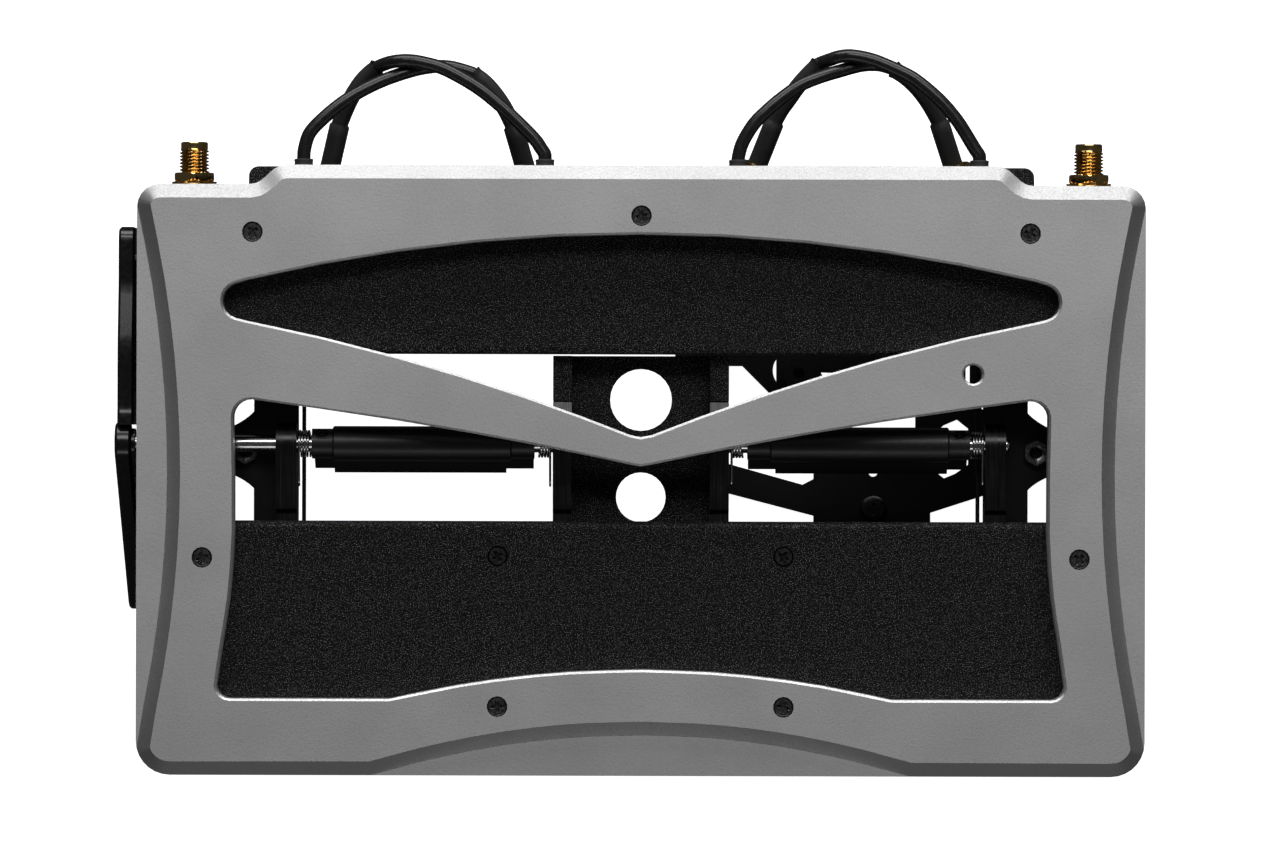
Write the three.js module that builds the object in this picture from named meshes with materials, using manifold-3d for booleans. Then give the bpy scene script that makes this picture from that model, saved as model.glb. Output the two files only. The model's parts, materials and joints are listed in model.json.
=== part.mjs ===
// Dual-slot wireless receiver unit for a field mixer, lying on its back with the top panel up.
// X runs across the unit, +Y points to the side where receivers slide in, Z is up. Millimetres.
import * as THREE from 'three';
import * as BufferGeometryUtils from 'three/addons/utils/BufferGeometryUtils.js';
import Module from 'manifold-3d';

const wasm = await Module();
wasm.setup();

// Driving dimensions
const GAP = 0.3;
const HEIGHT = 45.5;
const PANEL = {
  halfWidth: 103.8, back: -62.8, shoulder: 58.8, front: 62.8, thickness: 6.4,
  bevel: 2.9, flangeTop: 42.5, backRadius: 7, frontRadius: 4.7, edgeBreak: 0.45,
};
const PANEL_UNDERSIDE = HEIGHT - PANEL.thickness;
const SHEET = 1.2;
const COVER_TOP = PANEL_UNDERSIDE - GAP;
const COVER_UNDERSIDE = COVER_TOP - SHEET;
const WALL_TOP = COVER_UNDERSIDE - GAP;
const PANEL_SCREW_TOP = HEIGHT - 0.4;
const BOX_SCREW_TOP = COVER_TOP - 0.1;
const SIDE_HALF_WIDTH = 103;
const DECK = { under: 28, top: 29.4 };
const SLOT = { centre: 45.5, middle: 15 };
const FRONT_BAR = {
  back: 24, sideFront: 58.4, front: 62.6, halfWidth: 81, boxHalfWidth: 78.5, faceBack: 59.4,
};
const REAR_BOX = { front: -10.5, slotEnd: -44.8, back: -62.4, halfWidth: 86.9 };
const CHANNEL = { inner: 87.3, wall: 1.2, back: -61.2, front: 58.9 };
const LEVER_OUTSIDE = -108.8;
const SHAFT = { y: 5.4, z: 34, radius: 1.75, left: -108.6, right: 76.5 };
const BORE_RADIUS = SHAFT.radius + GAP;
const ARM = { radius: 4.3, inner: [14.3, 18.2], outer: [71.1, 75.4] };
const SLEEVE = { radius: 3.65, collarRadius: 3.1, body: [26.7, 63.7], collars: [22, 68] };
const SPRING = { radius: 2.6, wire: 0.5, turns: 3, inner: 18.9, outer: 68.6, length: 2.1 };
const SMA = { x: 93.3, z: 21, radius: 3.175, tip: 68.2, length: 20 };
const JUMPER = { diameter: 2.8, grommetZ: 34, grommetXs: [20, 69.9] };
const PLUG = {
  ferruleRadius: 2.1, ferruleLength: 10, bodyRadius: 2.4, bodyLength: 6, nutFlats: 8, nutLength: 7,
};
const PANEL_SCREWS = [
  [-79.9, 48.9], [0, 52.4], [79.9, 48.9], [-90.1, -18], [90.1, -18], [-29.4, -48.5], [29.4, -48.5],
];
const BOX_SCREWS = [[-29.5, -17.7], [29.5, -17.7]];
const RAIL = { inner: 69.5, outer: 80.3, slit: [70.3, 71] };
const EAR = { x: 82, y: 3.8, nutFlats: 4.7 };
const SCREW = { headRadius: 1.85, recessRadius: 2.15 };

// Finishes
const metal = (color, roughness) => new THREE.MeshStandardMaterial({ color, roughness, metalness: 1 });
const coating = (color, roughness) => new THREE.MeshStandardMaterial({ color, roughness, metalness: 0 });
const anodisedSilver = metal(0xa9a9ab, 0.45);
const blackAnodised = metal(0x1b1b1d, 0.4);
const powderCoat = coating(0x121213, 0.6);
const glossBlack = coating(0x0b0b0c, 0.22);
const polishedSteel = metal(0xc9c9cb, 0.18);
const gold = metal(0xd6a543, 0.25);
const darkScrew = metal(0x3a3a3c, 0.35);
const cableJacket = coating(0x101011, 0.4);
const heatShrink = coating(0x161617, 0.6);
const blackRubber = coating(0x141415, 0.75);
const boardGreen = coating(0x14502c, 0.5);

// Solids: closed meshes that can be joined and cut
function toSolid(geometry) {
  const bare = geometry.clone();
  bare.deleteAttribute('normal');
  bare.deleteAttribute('uv');
  const merged = BufferGeometryUtils.mergeVertices(bare, 1e-4);
  return new wasm.Manifold(new wasm.Mesh({
    numProp: 3,
    vertProperties: merged.attributes.position.array,
    triVerts: new Uint32Array(merged.index.array),
  }));
}

function toGeometry(solid) {
  const { vertProperties, triVerts } = solid.getMesh();
  const geometry = new THREE.BufferGeometry();
  geometry.setAttribute('position', new THREE.BufferAttribute(vertProperties, 3));
  geometry.setIndex(new THREE.BufferAttribute(triVerts, 1));
  geometry.computeVertexNormals();
  return geometry;
}

const join = (...geometries) => toGeometry(
  geometries.map(toSolid).reduce((whole, piece) => whole.add(piece)));
const cut = (body, ...tools) => toGeometry(
  tools.map(toSolid).reduce((rest, tool) => rest.subtract(tool), toSolid(body)));

/** The same geometry, or its mirror image in the plane X = 0 for side -1. */
function onSide(geometry, side) {
  if (side > 0) {
    return geometry;
  }
  const copy = geometry.clone();
  copy.scale(-1, 1, 1);
  if (!copy.index) {
    copy.setIndex([...Array(copy.attributes.position.count).keys()]);
  }
  const corners = copy.index.array;
  for (let i = 0; i < corners.length; i += 3) {
    [corners[i + 1], corners[i + 2]] = [corners[i + 2], corners[i + 1]];
  }
  return copy;
}

// Basic forms
function block(x0, x1, y0, y1, z0, z1) {
  const geometry = new THREE.BoxGeometry(x1 - x0, y1 - y0, z1 - z0);
  return geometry.translate((x0 + x1) / 2, (y0 + y1) / 2, (z0 + z1) / 2);
}

/** An outline seen from above, thick from z0 to z1. */
function plateXY(shape, z0, z1, curveSegments = 5) {
  const geometry = new THREE.ExtrudeGeometry(shape, { depth: z1 - z0, bevelEnabled: false, curveSegments });
  return geometry.translate(0, 0, z0);
}

/** An outline in the YZ plane, thick from x0 to x1. */
function plateYZ(shape, x0, x1, curveSegments = 5) {
  const geometry = new THREE.ExtrudeGeometry(shape, { depth: x1 - x0, bevelEnabled: false, curveSegments });
  const turn = new THREE.Matrix4().makeBasis(
    new THREE.Vector3(0, 1, 0), new THREE.Vector3(0, 0, 1), new THREE.Vector3(1, 0, 0));
  return geometry.applyMatrix4(turn).translate(x0, 0, 0);
}

/** An outline in the XZ plane, thick from y0 to y1. */
function plateXZ(shape, y0, y1, curveSegments = 5) {
  const geometry = new THREE.ExtrudeGeometry(shape, { depth: y1 - y0, bevelEnabled: false, curveSegments });
  return geometry.rotateX(Math.PI / 2).translate(0, y1, 0);
}

/** A turned piece. The profile is [radius, height] pairs from the bottom of the axis to its top. */
function turned(profile, segments = 16) {
  const points = profile.map(([radius, height]) => new THREE.Vector2(radius, height));
  return new THREE.LatheGeometry(points, segments).rotateX(Math.PI / 2);
}

const rodProfile = (radius, from, to) => [[0, from], [radius, from], [radius, to], [0, to]];
const towardsX = (geometry) => geometry.rotateY(Math.PI / 2);
const towardsY = (geometry) => geometry.rotateX(-Math.PI / 2);
const hexagon = (acrossFlats) => new THREE.Shape([...Array(6).keys()].map((i) => {
  const angle = Math.PI / 6 + i * Math.PI / 3;
  return new THREE.Vector2(Math.cos(angle), Math.sin(angle)).multiplyScalar(acrossFlats / Math.sqrt(3));
}));

/** A closed skin through outlines of equal point count, given as [outline, height] from below upward. */
function loft(levels) {
  const count = levels[0][0].length;
  const positions = levels.flatMap(([outline, height]) => outline.flatMap(({ x, y }) => [x, y, height]));
  const faces = [];
  for (let level = 0; level < levels.length - 1; level += 1) {
    for (let i = 0; i < count; i += 1) {
      const a = level * count + i;
      const b = level * count + (i + 1) % count;
      faces.push(a, b, b + count, a, b + count, a + count);
    }
  }
  const last = (levels.length - 1) * count;
  for (const [a, b, c] of THREE.ShapeUtils.triangulateShape(levels[0][0], [])) {
    faces.push(c, b, a);
  }
  for (const [a, b, c] of THREE.ShapeUtils.triangulateShape(levels.at(-1)[0], [])) {
    faces.push(last + a, last + b, last + c);
  }
  const geometry = new THREE.BufferGeometry();
  geometry.setAttribute('position', new THREE.Float32BufferAttribute(positions, 3));
  return geometry.setIndex(faces);
}

/** An anticlockwise outline moved inward by a distance, or outward by a negative one. */
function inset(outline, distance) {
  const count = outline.length;
  const normalAfter = outline.map((place, i) => {
    const along = outline[(i + 1) % count].clone().sub(place).normalize();
    return new THREE.Vector2(-along.y, along.x);
  });
  return outline.map((place, i) => {
    const before = normalAfter[(i + count - 1) % count];
    const after = normalAfter[i];
    const mitre = before.clone().add(after).multiplyScalar(distance / (1 + before.dot(after)));
    return place.clone().add(mitre);
  });
}

/** Points of an arc from one place to another that bulges by a rise to the right of the way. */
function bow(from, to, rise, steps) {
  const middle = from.clone().add(to).multiplyScalar(0.5);
  const along = to.clone().sub(from);
  const half = along.length() / 2;
  const right = new THREE.Vector2(along.y, -along.x).normalize();
  const radius = (half * half + rise * rise) / (2 * rise);
  const centre = middle.clone().addScaledVector(right, rise - radius);
  const start = Math.atan2(from.y - centre.y, from.x - centre.x);
  const sweep = 2 * Math.asin(half / radius);
  return [...Array(steps + 1).keys()].map((i) => {
    const angle = start + sweep * i / steps;
    return new THREE.Vector2(centre.x + radius * Math.cos(angle), centre.y + radius * Math.sin(angle));
  });
}

/** Points of a round corner about a centre, anticlockwise from one angle to another in degrees. */
function corner(x, y, radius, fromDegrees, toDegrees, steps = 5) {
  return [...Array(steps + 1).keys()].map((i) => {
    const angle = THREE.MathUtils.degToRad(fromDegrees + (toDegrees - fromDegrees) * i / steps);
    return new THREE.Vector2(x + radius * Math.cos(angle), y + radius * Math.sin(angle));
  });
}

/** The left half's points for a right half that runs anticlockwise from the X = 0 plane back to it. */
function closeBothHalves(rightHalf) {
  const leftHalf = rightHalf.filter(({ x }) => x > 1e-6).map(({ x, y }) => new THREE.Vector2(-x, y));
  return [...rightHalf, ...leftHalf.reverse()];
}

const point = (x, y) => new THREE.Vector2(x, y);
const curvePoints = (controls, count) => new THREE.SplineCurve(
  controls.map(([x, y]) => point(x, y))).getPoints(count);

// Top panel
function panelFrontEdge() {
  const step = new THREE.CubicBezierCurve(
    point(80.6, PANEL.shoulder), point(77.2, PANEL.shoulder),
    point(76.6, PANEL.front), point(73, PANEL.front));
  return step.getPoints(7);
}

function flangeOutline() {
  const { halfWidth, back, shoulder, backRadius, frontRadius } = PANEL;
  return closeBothHalves([
    point(0, back),
    ...corner(halfWidth - backRadius, back + backRadius, backRadius, -90, 0, 7),
    ...corner(halfWidth - frontRadius, shoulder - frontRadius, frontRadius, 0, 90),
    ...panelFrontEdge(),
    point(0, PANEL.front),
  ]);
}

/** The foot of the bevel: like the flange, but waisted at both sides and arched at the back. */
function plateauOutline() {
  const { halfWidth, back, shoulder, backRadius, frontRadius } = PANEL;
  const archEnd = point(55.3, back + 0.1);
  const arch = curvePoints([[0, -54.4], [14, -54.9], [28, -56.5], [42, -59.2], [archEnd.x, archEnd.y]], 10);
  const waist = bow(point(halfWidth, shoulder - frontRadius), point(halfWidth, back + backRadius), 6.3, 14);
  return closeBothHalves([
    ...arch,
    ...corner(halfWidth - backRadius, back + backRadius, backRadius, -90, -12, 6),
    ...waist.reverse().slice(1, -1),
    ...corner(halfWidth - frontRadius, shoulder - frontRadius, frontRadius, 5, 90),
    ...panelFrontEdge(),
    point(0, PANEL.front),
  ]);
}

/** The long eye-shaped window in front of the V-shaped bar. */
function eyeOutline() {
  const upper = (x) => 48.6 - x * x / 690;
  const lower = (x) => 6.45 + 0.402 * x - 0.00128 * x * x;
  const lowerXs = [2.2, 12, 24, 37, 50, 66, 81];
  const upperXs = [81, 66, 50, 34, 17];
  return closeBothHalves([
    point(0, 6.9),
    ...lowerXs.map((x) => point(x, lower(x))),
    ...corner(82.3, 34.8, 3.75, -72, 72, 8),
    ...upperXs.map((x) => point(x, upper(x))),
    point(0, upper(0)),
  ]);
}

/** The large window behind the V-shaped bar. */
function rearWindowOutline() {
  const barEdge = (x) => 0.8 + 0.218 * x - 0.0006 * x * x;
  const barXs = [66, 50, 35, 20, 8, 2];
  const backArch = curvePoints([[0, -40.9], [17, -41.55], [35, -43.7], [51.6, -47]], 7);
  const side = curvePoints([[87.2, -43.2], [85.4, -32.4], [84.2, -23.4], [83.5, -10.5], [83.8, 10.4]], 7);
  return closeBothHalves([
    ...backArch,
    ...corner(84.3, -44.1, 2.9, -90, -4, 4),
    ...side.slice(1),
    ...corner(80.2, 10.9, 3.6, 8, 92),
    ...barXs.map((x) => point(x, barEdge(x))),
    point(0, 0.9),
  ]);
}

/** A cutter that goes right through the panel and breaks the window's top edge. */
function windowCutter(outline) {
  const spread = inset(outline, -PANEL.edgeBreak);
  return loft([
    [outline, PANEL_UNDERSIDE - 1],
    [outline, HEIGHT - PANEL.edgeBreak],
    [spread, HEIGHT],
    [spread, HEIGHT + 1],
  ]);
}

/** A cutter for a flat-head screw's hole, through a sheet from its underside to its top. */
function countersink(x, y, headTop, under) {
  const profile = [
    [0, under - 1], [1.6, under - 1], [1.6, headTop - 1.6], [SCREW.recessRadius, headTop - 0.6],
    [SCREW.recessRadius, headTop + 2], [0, headTop + 2],
  ];
  return turned(profile, 14).translate(x, y, 0);
}

function topPanel() {
  const flange = loft([[flangeOutline(), PANEL_UNDERSIDE], [flangeOutline(), PANEL.flangeTop]]);
  const foot = inset(plateauOutline(), 0.03);
  const face = inset(plateauOutline(), PANEL.bevel);
  const plateau = loft([[foot, PANEL_UNDERSIDE + 1], [foot, PANEL.flangeTop + 0.1], [face, HEIGHT]]);
  const accessHole = turned([
    [0, PANEL_UNDERSIDE - 1], [1.95, PANEL_UNDERSIDE - 1], [1.95, HEIGHT - 0.4], [2.45, HEIGHT + 0.1],
    [0, HEIGHT + 0.1],
  ]).translate(68.2, 20, 0);
  const screwHoles = PANEL_SCREWS.map(([x, y]) => countersink(x, y, PANEL_SCREW_TOP, PANEL_UNDERSIDE));
  return cut(
    join(flange, plateau),
    windowCutter(eyeOutline()), windowCutter(rearWindowOutline()), accessHole, ...screwHoles);
}

/** A flat-head machine screw, head up, standing on its tip. */
function flatHeadScrew(headTop, length) {
  const { headRadius } = SCREW;
  const tip = headTop - length;
  return turned([
    [0, tip], [1, tip], [1.25, tip + 0.4], [1.25, headTop - 1.5], [headRadius, headTop - 0.5],
    [headRadius, headTop], [0, headTop],
  ], 12);
}

// Covers and housings under the panel
function roundedPlan(halfWidth, back, front, backRadius, frontRadius) {
  return [
    ...corner(halfWidth - backRadius, back + backRadius, backRadius, -90, 0),
    ...corner(halfWidth - frontRadius, front - frontRadius, frontRadius, 0, 90),
    ...corner(-halfWidth + frontRadius, front - frontRadius, frontRadius, 90, 180),
    ...corner(-halfWidth + backRadius, back + backRadius, backRadius, 180, 270),
  ];
}

/** A cover sheet with a lip bent down along one edge, at Y = edge; side +1 has the lip at its back. */
function bentCover(outline, edge, side, lipBottom, screws) {
  const radius = 1.5;
  const lip = new THREE.Shape();
  lip.moveTo(edge, lipBottom);
  lip.lineTo(edge, COVER_TOP - radius);
  lip.quadraticCurveTo(edge, COVER_TOP, edge + side * radius, COVER_TOP);
  lip.lineTo(edge + side * 4, COVER_TOP);
  lip.lineTo(edge + side * 4, COVER_UNDERSIDE);
  lip.lineTo(edge + side * SHEET, COVER_UNDERSIDE);
  lip.lineTo(edge + side * SHEET, lipBottom);
  const lipBody = plateYZ(lip, -REAR_BOX.halfWidth, REAR_BOX.halfWidth);
  const sheet = loft([[outline, COVER_UNDERSIDE], [outline, COVER_TOP]]);
  const hole = turned(rodProfile(1.6, COVER_UNDERSIDE - 1, COVER_TOP + 1), 12);
  const holes = screws.map(([x, y]) => hole.clone().translate(x, y, 0));
  return cut(join(sheet, lipBody), ...holes);
}

function frontCover() {
  const { back, sideFront, front, halfWidth } = FRONT_BAR;
  const outline = closeBothHalves([
    point(0, back + 1.5), point(SIDE_HALF_WIDTH, back + 1.5),
    ...corner(SIDE_HALF_WIDTH - 4.3, sideFront - 4.3, 4.3, 0, 90),
    point(halfWidth, sideFront), ...corner(halfWidth - 2, front - 2, 2, 0, 90), point(0, front),
  ]);
  return bentCover(outline, FRONT_BAR.back, 1, DECK.top + GAP, PANEL_SCREWS.filter(([, y]) => y > 0));
}

function rearCover() {
  const outline = roundedPlan(SIDE_HALF_WIDTH, REAR_BOX.back, REAR_BOX.front - 1.5, 6.6, 0.4);
  const body = bentCover(outline, REAR_BOX.front, -1, 35, PANEL_SCREWS.filter(([, y]) => y < 0));
  const holes = BOX_SCREWS.map(([x, y]) => countersink(x, y, BOX_SCREW_TOP, COVER_UNDERSIDE));
  return cut(body, ...holes);
}

/** The tray that closes the front bar from below and carries the jumper grommets. */
function frontTray() {
  const { back, front, halfWidth, boxHalfWidth, faceBack } = FRONT_BAR;
  const outside = closeBothHalves([
    point(0, back + 1.5), point(boxHalfWidth, back + 1.5), point(boxHalfWidth, faceBack),
    point(halfWidth, faceBack), ...corner(halfWidth - 2, front - 2, 2, 0, 90), point(0, front),
  ]);
  const pocket = closeBothHalves([
    point(0, back + 1.5 + SHEET), point(boxHalfWidth - SHEET, back + 1.5 + SHEET),
    point(boxHalfWidth - SHEET, front - SHEET), point(0, front - SHEET),
  ]);
  const body = loft([[inset(outside, 0.4), DECK.under], [outside, DECK.under + 0.4], [outside, WALL_TOP]]);
  const hole = towardsY(turned(rodProfile(2, front - 3, front + 2), 12)).translate(0, 0, JUMPER.grommetZ);
  const grommetHoles = JUMPER.grommetXs.flatMap(
    (x) => [hole.clone().translate(-x, 0, 0), hole.clone().translate(x, 0, 0)]);
  return cut(body, loft([[pocket, DECK.under + SHEET], [pocket, WALL_TOP + 1]]), ...grommetHoles);
}

function rearBox() {
  const { slotEnd, back, halfWidth } = REAR_BOX;
  const front = REAR_BOX.front - SHEET - GAP;
  const outside = new THREE.Shape([
    point(front, DECK.under), point(front, WALL_TOP), point(back, WALL_TOP), point(back, 0),
    point(slotEnd, 0), point(slotEnd, DECK.under),
  ].reverse());
  const inside = new THREE.Shape([
    point(front - SHEET, DECK.under + SHEET), point(front - SHEET, WALL_TOP + 1),
    point(back + SHEET, WALL_TOP + 1), point(back + SHEET, SHEET), point(slotEnd - SHEET, SHEET),
    point(slotEnd - SHEET, DECK.under + SHEET),
  ].reverse());
  const connectorCuts = [-1, 1].map((side) => block(
    side * SLOT.centre - 20, side * SLOT.centre + 20, slotEnd - 3, slotEnd + 1,
    SLOT.middle - 4.6, SLOT.middle + 4.6));
  const body = plateYZ(outside, -halfWidth, halfWidth);
  return cut(body, plateYZ(inside, -halfWidth + SHEET, halfWidth - SHEET), ...connectorCuts);
}

/** A deep side tray: foot of the unit, guide of the receiver slot and home of an antenna jack. */
function sideChannel(side) {
  const { inner, wall, back, front } = CHANNEL;
  const outside = [
    point(inner, back), ...corner(SIDE_HALF_WIDTH - 6.4, back + 6.4, 6.4, -90, 0),
    ...corner(SIDE_HALF_WIDTH - 4.3, front - 4.3, 4.3, 0, 90), point(inner, front),
  ];
  const pocket = inset(outside, wall);
  const sideWall = block(
    SIDE_HALF_WIDTH - wall, SIDE_HALF_WIDTH, REAR_BOX.front + GAP, FRONT_BAR.back + 1.2,
    WALL_TOP - 1, COVER_TOP);
  const body = join(loft([[outside, 0], [outside, WALL_TOP]]), sideWall);
  const jackHole = towardsY(turned(rodProfile(3.5, front - 3, front + 2), 16)).translate(SMA.x, 0, SMA.z);
  const tools = [loft([[pocket, wall], [pocket, COVER_TOP + 1]]), jackHole];
  if (side < 0) {
    const shaftHole = towardsX(turned(rodProfile(BORE_RADIUS, inner - 2, SIDE_HALF_WIDTH + 2), 12));
    tools.push(shaftHole.translate(0, SHAFT.y, SHAFT.z));
  }
  return onSide(cut(body, ...tools), side);
}

/** A deck rail with a lug towards the side channel and a narrow slit along its slot edge. */
function sideRail(side) {
  const { inner, outer, slit: [slitInner, slitOuter] } = RAIL;
  const back = REAR_BOX.front - SHEET;
  const front = FRONT_BAR.back + SHEET;
  const outline = new THREE.Shape();
  outline.moveTo(inner, back);
  outline.lineTo(outer, back);
  outline.lineTo(outer, EAR.y - 7.7);
  outline.quadraticCurveTo(outer + 2.3, EAR.y - 5.4, CHANNEL.inner - GAP, EAR.y - 4.1);
  outline.lineTo(CHANNEL.inner - GAP, EAR.y + 4.2);
  outline.quadraticCurveTo(outer + 2.3, EAR.y + 5.8, outer, EAR.y + 8.2);
  outline.lineTo(outer, front);
  outline.lineTo(inner, front);
  const slit = block(slitInner, slitOuter, back + 0.8, front - 0.8, DECK.under - 1, DECK.top + 1);
  return onSide(cut(plateXY(outline, DECK.under, DECK.top), slit), side);
}

/** The central web that ties the front bar to the rear box, with two round look-through holes. */
function centreBracket() {
  const back = REAR_BOX.front - 0.2;
  const front = FRONT_BAR.back - GAP;
  const web = block(-ARM.inner[1], ARM.inner[1], back, front, DECK.under, DECK.top);
  const rib = block(ARM.inner[0], ARM.inner[1], 14.4, front, DECK.top - 1, DECK.top + 5);
  const hole = (y, radius) => turned(rodProfile(radius, DECK.under - 1, DECK.top + 1), 28).translate(0, y, 0);
  return cut(join(web, rib, onSide(rib, -1)), hole(14.6, 6.4), hole(-5.6, 5.15));
}

// Latch mechanism
/** A bearing arm on edge: flat foot, round knuckle about the shaft, top sloping back to the rear box. */
function bearingArm(from, to, nose) {
  const { y, z } = SHAFT;
  const foot = DECK.top + GAP;
  const back = REAR_BOX.front - SHEET;
  const outline = new THREE.Shape();
  outline.moveTo(back, foot);
  outline.lineTo(nose ? 14.1 : y, foot);
  if (nose) {
    outline.lineTo(14.1, foot + 4.8);
    outline.lineTo(y + 3.9, z + 1.8);
  }
  outline.absarc(y, z, ARM.radius, nose ? 0.43 : -Math.PI / 2, 1.75);
  outline.lineTo(-8.1, foot + 5.9);
  outline.lineTo(-9, foot + 4.8);
  outline.lineTo(back, foot + 4.8);
  const bore = towardsX(turned(rodProfile(BORE_RADIUS, from - 1, to + 1), 14)).translate(0, y, z);
  return cut(plateYZ(outline, from, to, 10), bore);
}

function crossShaft() {
  const { radius, left, right, y, z } = SHAFT;
  const profile = [
    [0, left], [radius - 0.3, left], [radius, left + 0.3], [radius, right - 1.1],
    [radius - 0.45, right - 0.3], [0, right],
  ];
  return towardsX(turned(profile, 14)).translate(0, y, z);
}

/** A latch bar: a sleeve keyed to the shaft, with a nose along it that drops behind a receiver's edge. */
function latchBar(side) {
  const { radius, collarRadius, body, collars } = SLEEVE;
  const nose = (reach, halfThickness, root, from, to) => {
    const tipAngle = THREE.MathUtils.degToRad(227);
    const along = point(Math.cos(tipAngle), Math.sin(tipAngle));
    const across = point(-along.y, along.x);
    const place = (out, sideways) => along.clone().multiplyScalar(out).addScaledVector(across, sideways);
    const outline = new THREE.Shape([
      place(1, root), place(1, -root), place(reach - 0.5, -halfThickness), place(reach, -halfThickness + 0.5),
      place(reach, halfThickness - 0.5), place(reach - 0.5, halfThickness),
    ].reverse());
    return plateYZ(outline, from, to);
  };
  const solid = join(
    towardsX(turned(rodProfile(collarRadius, collars[0], collars[1]), 20)),
    towardsX(turned([
      [0, body[0]], [radius - 0.3, body[0]], [radius, body[0] + 0.3], [radius, body[1] - 0.3],
      [radius - 0.3, body[1]], [0, body[1]],
    ], 20)),
    nose(8, 1.2, 2.6, body[0] + 1.2, body[1] - 0.2),
    nose(6.8, 1.1, 2.2, collars[0] + 0.2, collars[1] - 0.5));
  const screwHole = turned(rodProfile(1.35, 0, radius + 2), 10).rotateX(-Math.PI / 4).translate(65.9, 0, 0);
  const bore = towardsX(turned(rodProfile(BORE_RADIUS, collars[0] - 1, collars[1] + 1), 14));
  return onSide(cut(solid, screwHole, bore).translate(0, SHAFT.y, SHAFT.z), side);
}

/** A torsion spring wound on the shaft, with its leg lying back along the arm beside it. */
function torsionSpring(start, legAt) {
  const { radius, wire, turns, length } = SPRING;
  const steps = 10;
  const end = start + length;
  const [near, far] = legAt > start + length / 2 ? [start, end] : [end, start];
  const path = [...Array(turns * steps + 1).keys()].map((i) => {
    const angle = Math.PI / 2 + 2 * Math.PI * i / steps;
    const x = near + (far - near) * i / (turns * steps);
    return new THREE.Vector3(x, SHAFT.y + radius * Math.cos(angle), SHAFT.z + radius * Math.sin(angle));
  });
  const legTop = SHAFT.z + radius;
  path.push(new THREE.Vector3(far, SHAFT.y - 2.2, legTop - 0.25));
  path.push(new THREE.Vector3(far, SHAFT.y - 6, legTop - 0.9));
  path.push(new THREE.Vector3(far, SHAFT.y - 8.6, legTop - 1.5));
  const half = wire / 2;
  const section = new THREE.Shape([
    point(-half, -half), point(half, -half), point(half, half), point(-half, half),
  ]);
  const curve = new THREE.CatmullRomCurve3(path, false, 'centripetal');
  return new THREE.ExtrudeGeometry(section, { steps: path.length + 1, extrudePath: curve });
}

/** A plate outline like a teardrop: a hub circle, a smaller end circle and their common tangents. */
function leverOutline(hub, hubRadius, end, endRadius) {
  const along = end.clone().sub(hub);
  const heading = Math.atan2(along.y, along.x);
  const spread = Math.acos((hubRadius - endRadius) / along.length());
  const degrees = THREE.MathUtils.radToDeg;
  return [
    ...corner(hub.x, hub.y, hubRadius, degrees(heading + spread), degrees(heading - spread) + 360, 12),
    ...corner(end.x, end.y, endRadius, degrees(heading - spread), degrees(heading + spread), 8),
  ];
}

/** The release lever: a hub on the shaft and an arm that slopes back and down, leaning slightly inward. */
function releaseLever() {
  const hub = point(SHAFT.y, SHAFT.z);
  const end = point(-25.9, 9.5);
  const rim = leverOutline(hub, 4.4, end, 3.6);
  const outer = inset(rim, 0.5);
  const inner = inset(rim, 1.3);
  const levels = [
    [outer, LEVER_OUTSIDE], [rim, -108.3], [rim, -105.9], [outer, -105.5], [inner, -105.4], [inner, -104.6],
  ];
  const lean = (y, z) => 1.3 * hub.distanceTo(point(y, z)) / hub.distanceTo(end);
  const body = loft(levels);
  const places = body.attributes.position;
  for (let i = 0; i < places.count; i += 1) {
    const [y, z, x] = [places.getX(i), places.getY(i), places.getZ(i)];
    places.setXYZ(i, x + lean(y, z), y, z);
  }
  const bore = towardsX(turned(rodProfile(BORE_RADIUS, -112, -104), 14)).translate(0, SHAFT.y, SHAFT.z);
  return cut(body, bore);
}

/** The fixed finger guard in front of the lever, hollowed round its hub and standing on a pad. */
function leverGuard() {
  const topEdge = curvePoints([
    [46.6, 35.3], [42, 35.4], [38, 35.5], [32, 36.65], [26, 37.75], [21, 37.9], [16, 37.85], [12.8, 37.9],
    [11.4, 38.2], [9.2, 38.3],
  ], 27);
  const rim = [
    point(9.2, 12), ...corner(44.2, 18, 6, -90, 0), ...corner(47.2, 32.3, 3, 0, 75), ...topEdge,
  ];
  const pad = [
    ...corner(41, 20, 4, -90, 0), ...corner(43, 31, 2, 0, 90), ...corner(18, 31, 2, 90, 180),
    ...corner(20, 20, 4, 180, 270),
  ];
  const stand = (levels) => {
    const geometry = loft(levels);
    return geometry.applyMatrix4(new THREE.Matrix4().makeBasis(
      new THREE.Vector3(0, 1, 0), new THREE.Vector3(0, 0, 1), new THREE.Vector3(1, 0, 0)));
  };
  const hub = towardsX(turned(rodProfile(4.75, -112, -102), 28)).translate(0, SHAFT.y, SHAFT.z);
  const plate = stand([[inset(rim, 0.5), -108.1], [rim, -107.6], [rim, -105.2], [inset(rim, 0.5), -104.7]]);
  return cut(join(plate, stand([[pad, -105], [pad, -103.3]])), hub);
}

// Antenna jacks and nuts
function antennaJack(side) {
  const { radius, tip, x, z } = SMA;
  const wallInside = CHANNEL.front - CHANNEL.wall;
  const profile = [
    [0, tip - SMA.length], [2.4, tip - SMA.length], [2.4, wallInside - 5], [4.4, wallInside - 5],
    [4.4, wallInside - GAP], [radius, wallInside - GAP], [radius, tip - 0.4], [radius - 0.4, tip],
    [2.3, tip], [2.3, tip - 4.5], [0, tip - 4.5],
  ];
  return onSide(towardsY(turned(profile, 16)).translate(x, 0, z), side);
}

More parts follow.
